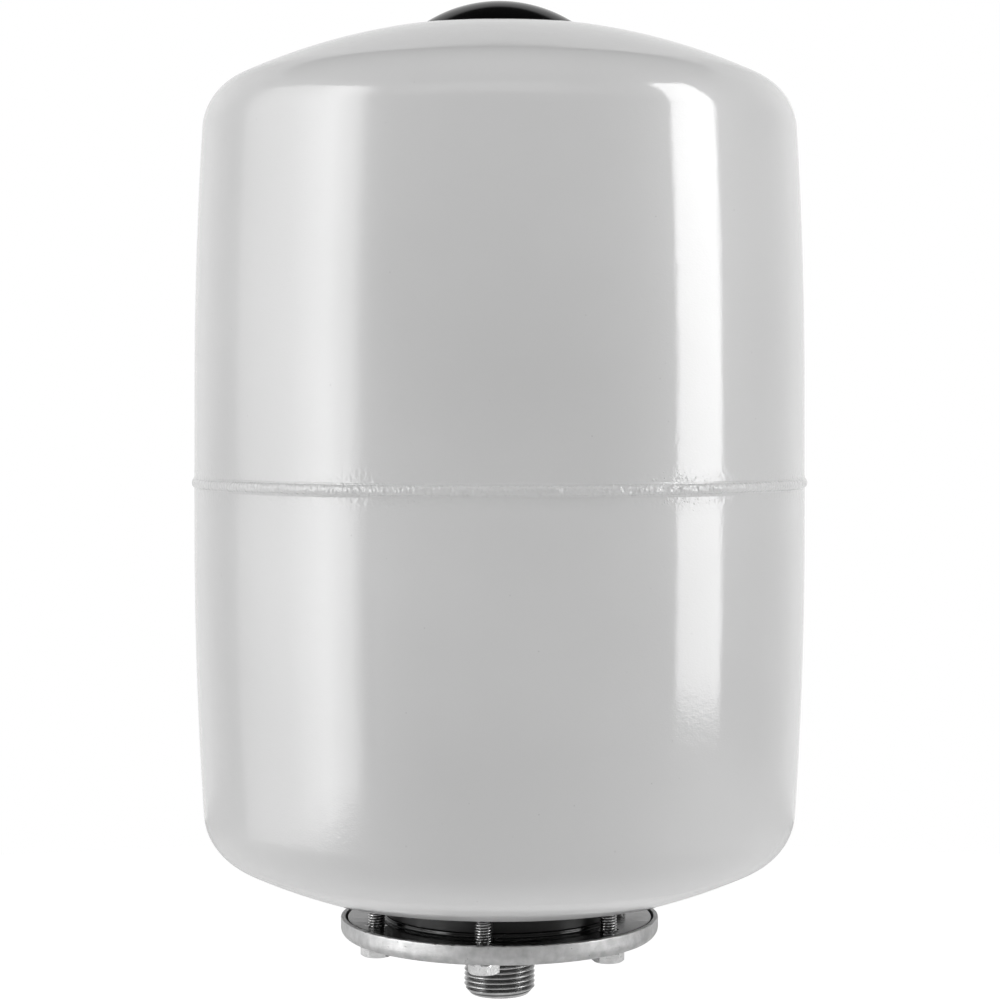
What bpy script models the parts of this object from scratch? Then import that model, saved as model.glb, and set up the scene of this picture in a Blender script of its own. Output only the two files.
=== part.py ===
"""Expansion vessel, 24 litres, with a replaceable rubber bladder behind a bolted flange.

The frame: +Z up along the vessel's axis, z = 0 at the free end of the pipe nipple, metres.
The nipple and the flange are at the bottom, and the air valve is at the top under a push-on cover.
Every piece is its own object. Pieces that touch keep a gap of CLEARANCE between their meshes.
"""

import math

import bmesh
import bpy

CLEARANCE = 0.0003
FULL_TURN = 2 * math.pi

# Shell: two deep-drawn half shells, welded together at the seam.
BODY_RADIUS = 0.1425
SHELL_WALL = 0.0015
SEAM_Z = 0.2402
BARREL_RADIUS = 2.0
KNUCKLE_RADIUS = 0.0270
CROWN_RADIUS = 0.2889
# Heights measured from the seam: end of the plain wall, start of the knuckle, and the flat land.
UPPER_STRAIGHT = 0.0437
UPPER_TANGENT = 0.1650
UPPER_LAND = 0.2085
LOWER_STRAIGHT = 0.0220
LOWER_TANGENT = 0.1539
LOWER_LAND = 0.1888
WELD_PROUD = 0.0013
WELD_HALF_HEIGHT = 0.0027
WELD_ROOT = 0.0009

# Flange group at the bottom.
NECK_RADIUS = 0.0540
NECK_BORE = 0.0495
SPIGOT_RADIUS = 0.0517
FOOT_RADIUS = 0.0565
FOOT_HEIGHT = 0.0020
RING_RADIUS = 0.0712
RING_BOTTOM_Z = 0.0328
RING_TOP_Z = 0.0366
HUB_TOP_Z = 0.0383
DISH_RADIUS = 0.07445
DISH_SHEET = 0.0021
DISH_CORNER = 0.0045
DISH_LEAD_IN = 0.0012
DISH_BOTTOM_Z = 0.0278
DISH_TOP_Z = 0.0371

# Bolts: six M8 x 18 hexagon bolts, put in from below.
BOLT_COUNT = 6
BOLT_CIRCLE_RADIUS = 0.0616
BOLT_RADIUS = 0.0040
BOLT_LENGTH = 0.0180
BOLT_HEAD_FLATS = 0.0130
BOLT_HEAD_HEIGHT = 0.0050
BOLT_HOLE_RADIUS = 0.0045
FIRST_BOLT_ANGLE = math.radians(-96.6)

# Pipe nipple: G1 male thread, drawn at its major diameter.
NIPPLE_RADIUS = 0.03325 / 2
NIPPLE_BORE = 0.0105
NIPPLE_END_RADIUS = 0.0133
NIPPLE_CHAMFER_HEIGHT = 0.0036
NIPPLE_SPIGOT = 0.0155
NIPPLE_TOP_Z = 0.0322

# Bladder.
BLADDER_WALL = 0.0020
BLADDER_NECK = 0.0488
BAG_RADIUS = 0.1120
BAG_CENTRE_Z = 0.2350
BAG_HALF_HEIGHT = 0.1720
BAG_FULLNESS = 2.4

# Air valve at the top, as heights above the upper land.
SOCKET_RADIUS = 0.0090
SOCKET_HEIGHT = 0.0012
VALVE_FLANGE_BOTTOM = 0.0017
VALVE_FLANGE_TOP = 0.0037
VALVE_FLATS = 0.0140
STEM_RADIUS = 0.00385
STEM_TOP = 0.0090
STEM_BORE = 0.0027
CORE_RADIUS = 0.0024
CORE_BORE = 0.00195
CORE_BOTTOM = 0.0013
CORE_TOP = 0.0085
CORE_END = 0.0010
PIN_RADIUS = 0.00065
PIN_TOP = 0.0088
PIN_COLLAR = 0.0068
SPRING_TURNS = 5
SPRING_RADIUS = 0.0013
SPRING_WIRE = 0.0002
DUST_CAP_RADIUS = 0.0050
DUST_CAP_TOP = 0.0114
COVER_SPHERE = 0.0650
COVER_TOP = 0.0166
COVER_EDGE_RADIUS = 0.0395
COVER_WALL = 0.0018

LOWER_LAND_Z = SEAM_Z - LOWER_LAND
UPPER_LAND_Z = SEAM_Z + UPPER_LAND


def clear_scene():
    for obj in list(bpy.data.objects):
        bpy.data.objects.remove(obj, do_unlink=True)


def material(name, colour, roughness, metallic=0.0):
    made = bpy.data.materials.new(name)
    made.use_nodes = True
    shader = made.node_tree.nodes["Principled BSDF"]
    shader.inputs["Base Color"].default_value = (*colour, 1.0)
    shader.inputs["Roughness"].default_value = roughness
    shader.inputs["Metallic"].default_value = metallic
    return made


def object_from(name, mesh, finish):
    """Puts a mesh into the scene as a named object, smooth but for its sharp edges."""
    mesh.materials.append(finish)
    mesh.shade_smooth()
    mesh.set_sharp_from_angle(angle=math.radians(30))
    obj = bpy.data.objects.new(name, mesh)
    bpy.context.collection.objects.link(obj)
    return obj


def mesh_from(name, bm):
    bmesh.ops.recalc_face_normals(bm, faces=bm.faces)
    mesh = bpy.data.meshes.new(name)
    bm.to_mesh(mesh)
    bm.free()
    return mesh


def arc(centre_r, centre_z, radius, start, end, steps):
    """(radius, height) points on an arc, both ends included. Angle 0 points outwards."""
    angles = [start + (end - start) * i / steps for i in range(steps + 1)]
    return [(centre_r + radius * math.cos(a), centre_z + radius * math.sin(a)) for a in angles]


def turned(name, outline, finish, sides=36):
    """A closed outline of (radius, height) points, spun about the vessel's axis."""
    bm = bmesh.new()
    corners = [bm.verts.new((r, 0, z)) for r, z in outline]
    edges = []
    for first, second in zip(corners, corners[1:] + corners[:1]):
        if first.co.x > 0 or second.co.x > 0:
            edges.append(bm.edges.new((first, second)))
    bmesh.ops.spin(
        bm, geom=corners + edges, cent=(0, 0, 0), axis=(0, 0, 1), angle=FULL_TURN, steps=sides, use_merge=True
    )
    bmesh.ops.remove_doubles(bm, verts=bm.verts, dist=1e-6)
    return object_from(name, mesh_from(name, bm), finish)


def round_loop(radius, z, sides=24):
    return [(radius * math.cos(FULL_TURN * i / sides), radius * math.sin(FULL_TURN * i / sides), z) for i in range(sides)]


def hexagon_loop(across_flats, z, sides=24):
    """A hexagon with as many points as a round loop, so that the two can be joined."""
    points = []
    for i in range(sides):
        angle = FULL_TURN * i / sides
        from_flat = (angle + math.pi / 6) % (math.pi / 3) - math.pi / 6
        radius = across_flats / 2 / math.cos(math.pi / 6 - abs(from_flat))
        points.append((radius * math.cos(angle), radius * math.sin(angle), z))
    return points


def lofted(name, loops, hollow=False):
    """A mesh through loops of points. A hollow one joins its last loop to its first, a solid one is capped."""
    bm = bmesh.new()
    rings = [[bm.verts.new(point) for point in loop] for loop in loops]
    pairs = list(zip(rings, rings[1:]))
    if hollow:
        pairs.append((rings[-1], rings[0]))
    else:
        bm.faces.new(rings[0])
        bm.faces.new(rings[-1])
    for lower, upper in pairs:
        for i in range(len(lower)):
            j = (i + 1) % len(lower)
            bm.faces.new((lower[i], lower[j], upper[j], upper[i]))
    return mesh_from(name, bm)


def bolt_angles():
    return [FIRST_BOLT_ANGLE + FULL_TURN * i / BOLT_COUNT for i in range(BOLT_COUNT)]


def bolt_hole_cutter():
    """Six upright cylinders on the bolt circle, longer than the ring and the dish are thick."""
    bm = bmesh.new()
    for angle in bolt_angles():
        made = bmesh.ops.create_cone(
            bm, cap_ends=True, segments=12, radius1=BOLT_HOLE_RADIUS, radius2=BOLT_HOLE_RADIUS, depth=0.04
        )
        place = (BOLT_CIRCLE_RADIUS * math.cos(angle), BOLT_CIRCLE_RADIUS * math.sin(angle), RING_BOTTOM_Z)
        bmesh.ops.translate(bm, verts=made["verts"], vec=place)
    cutter = bpy.data.objects.new("bolt_hole_cutter", mesh_from("bolt_hole_cutter", bm))
    bpy.context.collection.objects.link(cutter)
    cutter.hide_render = True
    cutter.display_type = "WIRE"
    return cutter


def cut(obj, cutter):
    modifier = obj.modifiers.new("bolt_holes", "BOOLEAN")
    modifier.operation = "DIFFERENCE"
    modifier.solver = "EXACT"
    modifier.object = cutter


def shell_face(straight, tangent, land, hole, inset):
    """(radius, height from the seam) points along one face of a half shell, from the seam to its hole.

    The plain wall leads to a slight barrel, a knuckle, a spherical crown and a flat land. The inner face
    has the same centres as the outer one, with its radii inset by the wall."""
    lean = (tangent - straight) / BARREL_RADIUS
    barrel_r = BODY_RADIUS - BARREL_RADIUS
    knuckle_r = barrel_r + (BARREL_RADIUS - KNUCKLE_RADIUS) * math.cos(lean)
    knuckle_h = straight + (BARREL_RADIUS - KNUCKLE_RADIUS) * math.sin(lean)
    crown_h = knuckle_h - math.sqrt((CROWN_RADIUS - KNUCKLE_RADIUS) ** 2 - knuckle_r**2)
    blend = math.atan2(knuckle_h - crown_h, knuckle_r)
    land_angle = math.asin((land - inset - crown_h) / (CROWN_RADIUS - inset))
    edge = WELD_ROOT + CLEARANCE
    points = [(BODY_RADIUS - inset, edge)]
    points += arc(barrel_r, straight, BARREL_RADIUS - inset, 0, lean, 2)
    points += arc(knuckle_r, knuckle_h, KNUCKLE_RADIUS - inset, lean, blend, 5)[1:]
    points += arc(0, crown_h, CROWN_RADIUS - inset, blend, land_angle, 3)[1:]
    points.append((hole, land - inset))
    return points


def half_shell(name, side, straight, tangent, land, hole, finish):
    """One half shell. side is 1 for the upper half and -1 for the lower."""
    outer = shell_face(straight, tangent, land, hole, 0)
    inner = shell_face(straight, tangent, land, hole, SHELL_WALL)
    outline = [(r, SEAM_Z + side * h) for r, h in outer + inner[::-1]]
    turned(name, outline, finish)


def seam_weld(finish):
    toe = BODY_RADIUS + CLEARANCE
    crest = BODY_RADIUS + WELD_PROUD
    root = BODY_RADIUS - SHELL_WALL + CLEARANCE
    outline = [
        (root, SEAM_Z - WELD_ROOT),
        (toe, SEAM_Z - WELD_ROOT),
        (toe, SEAM_Z - WELD_HALF_HEIGHT),
        (crest, SEAM_Z - WELD_ROOT),
        (crest, SEAM_Z + WELD_ROOT),
        (toe, SEAM_Z + WELD_HALF_HEIGHT),
        (toe, SEAM_Z + WELD_ROOT),
        (root, SEAM_Z + WELD_ROOT),
    ]
    turned("seam_weld", outline, finish)


def fillet_weld(name, radius, z, leg, finish, sides, side=1):
    """A ring of weld with two legs: outwards from radius, and up from z, or down where side is -1."""
    outline = [(radius, z), (radius + leg, z), (radius, z + side * leg)]
    turned(name, outline, finish, sides)


def neck(finish):
    """The sleeve that lines the shell's opening, with a lip inside the shell and a rolled foot below."""
    lip_z = LOWER_LAND_Z + SHELL_WALL + CLEARANCE
    lip_radius = NECK_RADIUS + 0.0035
    collar_z = HUB_TOP_Z + CLEARANCE
    outline = [
        (NECK_BORE, RING_BOTTOM_Z),
        (FOOT_RADIUS, RING_BOTTOM_Z),
        (FOOT_RADIUS, RING_BOTTOM_Z + FOOT_HEIGHT),
        (SPIGOT_RADIUS, RING_BOTTOM_Z + FOOT_HEIGHT),
        (SPIGOT_RADIUS, collar_z),
        (NECK_RADIUS, collar_z),
        (NECK_RADIUS, lip_z),
        (lip_radius, lip_z),
        (lip_radius, lip_z + FOOT_HEIGHT),
        (NECK_BORE, lip_z + FOOT_HEIGHT),
    ]
    turned("neck", outline, finish)
    fillet_weld("neck_weld", lip_radius + CLEARANCE, lip_z, 0.0024, finish, sides=36)


def threaded_ring(finish, cutter):
    """The loose ring behind the neck's foot, which the bolts screw into."""
    recess = RING_BOTTOM_Z + FOOT_HEIGHT + CLEARANCE
    outline = [
        (FOOT_RADIUS + CLEARANCE, RING_BOTTOM_Z),
        (RING_RADIUS, RING_BOTTOM_Z),
        (RING_RADIUS, RING_TOP_Z),
        (NECK_RADIUS, RING_TOP_Z),
        (NECK_RADIUS, HUB_TOP_Z),
        (SPIGOT_RADIUS + CLEARANCE, HUB_TOP_Z),
        (SPIGOT_RADIUS + CLEARANCE, recess),
        (FOOT_RADIUS + CLEARANCE, recess),
    ]
    cut(turned("threaded_ring", outline, finish), cutter)


def counterflange(finish, cutter):
    """The pressed dish that clamps the bladder's lip and carries the nipple."""
    hole = NIPPLE_SPIGOT + CLEARANCE
    corner_r = DISH_RADIUS - DISH_CORNER
    corner_z = DISH_BOTTOM_Z + DISH_CORNER
    outer = arc(corner_r, corner_z, DISH_CORNER, -math.pi / 2, 0, 4)
    inner = arc(corner_r, corner_z, DISH_CORNER - DISH_SHEET, 0, -math.pi / 2, 2)
    outline = [(hole, DISH_BOTTOM_Z + DISH_LEAD_IN), (hole + DISH_LEAD_IN, DISH_BOTTOM_Z)] + outer
    outline += [(DISH_RADIUS, DISH_TOP_Z), (DISH_RADIUS - DISH_SHEET, DISH_TOP_Z)]
    outline += inner + [(hole, DISH_BOTTOM_Z + DISH_SHEET)]
    cut(turned("counterflange", outline, finish), cutter)


def nipple(finish):
    shoulder = DISH_BOTTOM_Z - CLEARANCE
    outline = [
        (NIPPLE_BORE, 0),
        (NIPPLE_END_RADIUS, 0),
        (NIPPLE_RADIUS, NIPPLE_CHAMFER_HEIGHT),
        (NIPPLE_RADIUS, shoulder),
        (NIPPLE_SPIGOT, shoulder),
        (NIPPLE_SPIGOT, NIPPLE_TOP_Z),
        (NIPPLE_BORE, NIPPLE_TOP_Z),
    ]
    turned("nipple", outline, finish, sides=32)
    weld_z = DISH_BOTTOM_Z + DISH_SHEET + CLEARANCE
    fillet_weld("nipple_weld", NIPPLE_SPIGOT + CLEARANCE, weld_z, 0.0024, finish, sides=32)


def flange_bolts(finish):
    """Hexagon bolts with their heads under the dish, all sharing one mesh."""
    seat = DISH_BOTTOM_Z - CLEARANCE
    head_z = seat - BOLT_HEAD_HEIGHT
    tip_z = seat + BOLT_LENGTH
    chamfer = 0.0010
    sides = 12
    loops = [
        round_loop(BOLT_HEAD_FLATS * 0.46, head_z, sides),
        hexagon_loop(BOLT_HEAD_FLATS, head_z + chamfer / 2, sides),
        hexagon_loop(BOLT_HEAD_FLATS, seat, sides),
        round_loop(BOLT_RADIUS, seat, sides),
        round_loop(BOLT_RADIUS, tip_z - chamfer, sides),
        round_loop(BOLT_RADIUS - chamfer, tip_z, sides),
    ]
    mesh = lofted("flange_bolt", loops)
    for number, angle in enumerate(bolt_angles(), start=1):
        if number == 1:
            bolt = object_from("flange_bolt_1", mesh, finish)
        else:
            bolt = bpy.data.objects.new(f"flange_bolt_{number}", mesh)
            bpy.context.collection.objects.link(bolt)
        bolt.location = (BOLT_CIRCLE_RADIUS * math.cos(angle), BOLT_CIRCLE_RADIUS * math.sin(angle), 0)
        bolt.rotation_euler.z = angle + math.radians(17 * number)


def bag_face(inset):
    """(radius, height) points up one face of the bladder's bag, from its neck to its crown."""
    radius = BAG_RADIUS - inset
    half_height = BAG_HALF_HEIGHT - inset
    neck_part = (BLADDER_NECK - inset) / radius
    start = -((1 - neck_part**BAG_FULLNESS) ** (1 / BAG_FULLNESS))
    points = []
    steps = 10
    for i in range(steps + 1):
        turn = i / steps
        rise = start + (1 - start) * (1 - math.cos(math.pi * turn)) / 2
        width = max(0, 1 - abs(rise) ** BAG_FULLNESS) ** (1 / BAG_FULLNESS)
        points.append((radius * width, BAG_CENTRE_Z + half_height * rise))
    points[-1] = (0, BAG_CENTRE_Z + half_height)
    return points


def bladder(finish):
    """A moulded rubber bag with an open neck, whose lip is clamped between the neck's foot and the dish."""
    lip_bottom = DISH_BOTTOM_Z + DISH_SHEET + CLEARANCE
    lip_top = RING_BOTTOM_Z - CLEARANCE
    inner_neck = BLADDER_NECK - BLADDER_WALL
    outline = [
        (inner_neck, lip_bottom),
        (FOOT_RADIUS - CLEARANCE, lip_bottom),
        (FOOT_RADIUS - CLEARANCE, lip_top),
        (BLADDER_NECK, lip_top),
    ]
    outline += bag_face(0) + bag_face(BLADDER_WALL)[::-1]
    turned("bladder", outline, finish, sides=24)


def above_land(points):
    """Moves (radius, height above the upper land) points to the vessel's own heights."""
    return [(r, UPPER_LAND_Z + z) for r, z in points]


def valve_socket(finish):
    """The steel boss welded into the top of the shell, counterbored for the O-ring."""
    lip_top = -SHELL_WALL - CLEARANCE
    lip_bottom = lip_top - 0.0020
    bore = 0.0062
    recess = 0.0084
    recess_z = -0.0002
    outline = [
        (bore, lip_bottom),
        (SOCKET_RADIUS + 0.0035, lip_bottom),
        (SOCKET_RADIUS + 0.0035, lip_top),
        (SOCKET_RADIUS, lip_top),
        (SOCKET_RADIUS, SOCKET_HEIGHT),
        (recess, SOCKET_HEIGHT),
        (recess, recess_z),
        (bore, recess_z),
    ]
    turned("valve_socket", above_land(outline), finish, sides=24)
    weld_radius = SOCKET_RADIUS + 0.0035 + CLEARANCE
    fillet_weld("socket_weld", weld_radius, UPPER_LAND_Z + lip_top, 0.0020, finish, sides=24, side=-1)


def valve_oring(finish):
    section = 0.00065
    outline = arc(0.0072, 0.00075, section, 0, FULL_TURN * 7 / 8, 7)
    turned("valve_oring", above_land(outline), finish, sides=16)


def valve_body(finish):
    """The brass valve: a threaded shank in the socket, a hexagon, and the stem that the dust cap screws on."""
    shank = 0.0059
    bottom = UPPER_LAND_Z - 0.0048
    flange_bottom = UPPER_LAND_Z + VALVE_FLANGE_BOTTOM
    flange_top = UPPER_LAND_Z + VALVE_FLANGE_TOP
    stem_top = UPPER_LAND_Z + STEM_TOP
    seat_z = UPPER_LAND_Z - 0.0027
    loops = [
        round_loop(shank, bottom),
        round_loop(shank, flange_bottom),
        hexagon_loop(VALVE_FLATS, flange_bottom),
        hexagon_loop(VALVE_FLATS, flange_top),
        round_loop(STEM_RADIUS, flange_top),
        round_loop(STEM_RADIUS, stem_top - 0.0005),
        round_loop(STEM_RADIUS - 0.0005, stem_top),
        round_loop(STEM_BORE, stem_top),
        round_loop(STEM_BORE, seat_z),
        round_loop(STEM_BORE - 0.0009, seat_z),
        round_loop(STEM_BORE - 0.0009, bottom),
    ]
    object_from("valve_body", lofted("valve_body", loops, hollow=True), finish)


def valve_core(brass, steel, rubber):
    """The core's barrel, its spring, and the pin with the rubber seal that the spring pulls shut."""
    hole = PIN_RADIUS + CLEARANCE
    barrel = [
        (hole, CORE_BOTTOM),
        (CORE_RADIUS, CORE_BOTTOM),
        (CORE_RADIUS, CORE_TOP),
        (hole, CORE_TOP),
        (hole, CORE_TOP - CORE_END),
        (CORE_BORE, CORE_TOP - CORE_END),
        (CORE_BORE, CORE_BOTTOM + CORE_END),
        (hole, CORE_BOTTOM + CORE_END),
    ]
    turned("core_barrel", above_land(barrel), brass, sides=12)
    seal_top = CORE_BOTTOM - CLEARANCE
    seal_bottom = seal_top - 0.0009
    seal = [(hole, seal_bottom), (0.0021, seal_bottom), (0.0021, seal_top), (hole, seal_top)]
    turned("poppet_seal", above_land(seal), rubber, sides=12)
    poppet_top = seal_bottom - CLEARANCE
    collar_radius = 0.0016
    pin = [
        (0, poppet_top - 0.0006),
        (0.0017, poppet_top - 0.0006),
        (0.0017, poppet_top),
        (PIN_RADIUS, poppet_top),
        (PIN_RADIUS, PIN_COLLAR),
        (collar_radius, PIN_COLLAR),
        (collar_radius, PIN_COLLAR + 0.0004),
        (PIN_RADIUS, PIN_COLLAR + 0.0004),
        (PIN_RADIUS, PIN_TOP),
        (0, PIN_TOP),
    ]
    turned("valve_pin", above_land(pin), brass, sides=12)
    core_spring(steel)


def core_spring(finish):
    """A coil between the barrel's lower end and the pin's collar."""
    bottom = UPPER_LAND_Z + CORE_BOTTOM + CORE_END + CLEARANCE + SPRING_WIRE
    top = UPPER_LAND_Z + PIN_COLLAR - CLEARANCE - SPRING_WIRE
    steps = SPRING_TURNS * 8
    curve = bpy.data.curves.new("core_spring", "CURVE")
    curve.dimensions = "3D"
    curve.bevel_depth = SPRING_WIRE
    curve.bevel_resolution = 1
    curve.use_fill_caps = True
    spline = curve.splines.new("POLY")
    spline.points.add(steps)
    for i, point in enumerate(spline.points):
        angle = FULL_TURN * SPRING_TURNS * i / steps
        height = bottom + (top - bottom) * i / steps
        point.co = (SPRING_RADIUS * math.cos(angle), SPRING_RADIUS * math.sin(angle), height, 1)
    curve.materials.append(finish)
    spring = bpy.data.objects.new("core_spring", curve)
    bpy.context.collection.objects.link(spring)


def dust_cap(finish, rubber):
    """The small screw cap on the valve's stem, with the sealing disc under its roof."""
    skirt = VALVE_FLANGE_TOP + 0.0007
    inner = STEM_RADIUS + CLEARANCE
    roof = DUST_CAP_TOP - 0.0011
    outline = [
        (inner, skirt),
        (DUST_CAP_RADIUS, skirt),
        (DUST_CAP_RADIUS, DUST_CAP_TOP - 0.0006),
        (DUST_CAP_RADIUS - 0.0006, DUST_CAP_TOP),
        (0, DUST_CAP_TOP),
        (0, roof),
        (inner, roof),
    ]
    turned("dust_cap", above_land(outline), finish, sides=24)
    disc_bottom = STEM_TOP + CLEARANCE
    disc_top = roof - CLEARANCE
    disc_radius = inner - CLEARANCE
    disc = [(0, disc_bottom), (disc_radius, disc_bottom), (disc_radius, disc_top), (0, disc_top)]
    turned("dust_cap_seal", above_land(disc), rubber, sides=24)


def cover(finish):
    """The push-on protective cover: a spherical dome with a short skirt and an inner sleeve on the socket."""
    centre = COVER_TOP - COVER_SPHERE
    inner_sphere = COVER_SPHERE - COVER_WALL
    sleeve_inner = SOCKET_RADIUS + CLEARANCE + 0.0001
    sleeve_outer = sleeve_inner + 0.0016
    inner_edge = COVER_EDGE_RADIUS - COVER_WALL
    half_turn = math.pi / 2
    outline = arc(0, centre, COVER_SPHERE, half_turn, math.acos(COVER_EDGE_RADIUS / COVER_SPHERE), 6)
    outline += [(COVER_EDGE_RADIUS, CLEARANCE), (inner_edge, CLEARANCE)]
    sleeve_angle = math.acos(sleeve_outer / inner_sphere)
    outline += arc(0, centre, inner_sphere, math.acos(inner_edge / inner_sphere), sleeve_angle, 4)
    outline += [(sleeve_outer, CLEARANCE), (sleeve_inner, CLEARANCE)]
    outline += arc(0, centre, inner_sphere, math.acos(sleeve_inner / inner_sphere), half_turn, 2)
    outline[0] = (0, COVER_TOP)
    outline[-1] = (0, COVER_TOP - COVER_WALL)
    turned("cover", above_land(outline), finish, sides=32)


def build():
    clear_scene()
    white_paint = material("white_paint", (0.66, 0.66, 0.65), 0.18)
    black_coat = material("black_coat", (0.012, 0.012, 0.013), 0.15)
    zinc = material("zinc", (0.62, 0.62, 0.61), 0.38, metallic=1.0)
    bright_zinc = material("bright_zinc", (0.75, 0.75, 0.74), 0.25, metallic=1.0)
    black_rubber = material("black_rubber", (0.015, 0.015, 0.016), 0.6)
    black_plastic = material("black_plastic", (0.010, 0.010, 0.011), 0.4)
    brass = material("brass", (0.72, 0.52, 0.24), 0.3, metallic=1.0)
    spring_steel = material("spring_steel", (0.55, 0.55, 0.56), 0.3, metallic=1.0)

    socket_hole = SOCKET_RADIUS + CLEARANCE
    neck_hole = NECK_RADIUS + CLEARANCE
    half_shell("upper_shell", 1, UPPER_STRAIGHT, UPPER_TANGENT, UPPER_LAND, socket_hole, white_paint)
    half_shell("lower_shell", -1, LOWER_STRAIGHT, LOWER_TANGENT, LOWER_LAND, neck_hole, white_paint)
    seam_weld(white_paint)

    cutter = bolt_hole_cutter()
    neck(black_coat)
    threaded_ring(black_coat, cutter)
    counterflange(zinc, cutter)
    nipple(zinc)
    flange_bolts(bright_zinc)
    bladder(black_rubber)

    valve_socket(bright_zinc)
    valve_oring(black_rubber)
    valve_body(brass)
    valve_core(brass, spring_steel, black_rubber)
    dust_cap(black_plastic, black_rubber)
    cover(black_plastic)


build()
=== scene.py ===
"""Looks for the expansion vessel: fine meshes, materials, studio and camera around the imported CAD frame.

Metres, +Z up. The vessel's axis is the Z axis and the nipple's free end is at z = 0.
The camera looks along +Y.
"""

import math

import bmesh
import bpy
import numpy as np
from mathutils import Matrix, Vector


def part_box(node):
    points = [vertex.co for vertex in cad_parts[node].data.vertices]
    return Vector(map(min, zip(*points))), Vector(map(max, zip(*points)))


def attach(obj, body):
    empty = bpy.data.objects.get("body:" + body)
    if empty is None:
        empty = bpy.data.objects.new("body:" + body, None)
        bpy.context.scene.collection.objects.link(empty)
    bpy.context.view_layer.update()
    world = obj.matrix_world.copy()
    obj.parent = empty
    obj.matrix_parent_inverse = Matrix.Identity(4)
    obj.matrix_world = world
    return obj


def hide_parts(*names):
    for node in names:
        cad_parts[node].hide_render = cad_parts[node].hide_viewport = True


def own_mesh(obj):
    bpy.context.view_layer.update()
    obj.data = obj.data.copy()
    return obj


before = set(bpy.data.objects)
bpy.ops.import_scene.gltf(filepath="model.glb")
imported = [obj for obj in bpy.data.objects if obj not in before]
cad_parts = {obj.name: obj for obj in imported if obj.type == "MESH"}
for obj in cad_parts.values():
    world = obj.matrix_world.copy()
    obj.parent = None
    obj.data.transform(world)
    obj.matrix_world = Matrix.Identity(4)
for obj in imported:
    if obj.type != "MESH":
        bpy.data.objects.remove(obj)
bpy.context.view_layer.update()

FULL_TURN = 2 * math.pi
CLEARANCE = 0.0003

# Places, read from the frame.
BODY_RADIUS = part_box("lower_shell")[1].x
UPPER_LAND_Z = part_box("upper_shell")[1].z
LOWER_LAND_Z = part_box("lower_shell")[0].z
SEAM_Z = (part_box("seam_weld")[0].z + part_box("seam_weld")[1].z) / 2
BEAD_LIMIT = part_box("seam_weld")[1].x
DISH_LOW, DISH_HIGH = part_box("counterflange")
RING_LOW, RING_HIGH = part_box("threaded_ring")
NECK_LOW, NECK_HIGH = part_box("neck")
NIPPLE_LOW, NIPPLE_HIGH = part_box("nipple")
COVER_LOW, COVER_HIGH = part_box("cover")
SOCKET_LOW, SOCKET_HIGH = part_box("valve_socket")
VALVE_LOW, VALVE_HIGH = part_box("valve_body")
CAP_LOW, CAP_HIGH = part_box("dust_cap")
BLADDER_LOW, BLADDER_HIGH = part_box("bladder")

# The shell's shape. Heights are measured from the seam.
SHELL_WALL = 0.0015
BARREL_RADIUS = 2.0
KNUCKLE_RADIUS = 0.0270
CROWN_RADIUS = 0.2889
UPPER_STRAIGHT = 0.0437
UPPER_TANGENT = 0.1646
LOWER_STRAIGHT = 0.0220
LOWER_TANGENT = 0.1539
BEAD_HALF_WIDTH = 0.0034
VALVE_HOLE = 0.0093
FLANGE_HOLE = 0.0543

NECK_RADIUS = 0.0540
NECK_BORE = 0.0495
SPIGOT_RADIUS = 0.0517
FOOT_RADIUS = 0.0565
FOOT_HEIGHT = 0.0020
HUB_HEIGHT = 0.0017
DISH_SHEET = 0.0021
DISH_CORNER = 0.0045
BOLT_COUNT = 6
BOLT_RADIUS = 0.0040
BOLT_PITCH = 0.00125
BOLT_HEAD_HEIGHT = 0.0050
BOLT_FLATS = 0.0130
PIPE_PITCH = 0.002309
PIPE_DEPTH = 0.00148

# How bright the surroundings are that light the vessel, next to a white of 1.
WALL_LIGHT = 0.21
BACKDROP_LIGHT = 0.85
BACKDROP_TOP_LIGHT = 0.56
GROUND_LIGHT = 0.85
CEILING_LIGHT = 0.03
FLOOR_GLOW = 0.36
FLOOR_SEEN = 0.85


# ---------------------------------------------------------------- meshes

def arc(centre_r, centre_z, radius, start, end, steps):
    """(radius, height) points on an arc, both ends included. Angle 0 points outwards."""
    angles = [start + (end - start) * i / steps for i in range(steps + 1)]
    return [(centre_r + radius * math.cos(a), centre_z + radius * math.sin(a)) for a in angles]


def between(first, last, steps):
    """Points on a straight run, both ends included."""
    return [
        (first[0] + (last[0] - first[0]) * i / steps, first[1] + (last[1] - first[1]) * i / steps)
        for i in range(steps + 1)
    ]


def object_from(name, bm, sharp=32):
    bmesh.ops.recalc_face_normals(bm, faces=bm.faces)
    mesh = bpy.data.meshes.new(name)
    bm.to_mesh(mesh)
    bm.free()
    mesh.shade_smooth()
    mesh.set_sharp_from_angle(angle=math.radians(sharp))
    obj = bpy.data.objects.new(name, mesh)
    bpy.context.scene.collection.objects.link(obj)
    return obj


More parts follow.
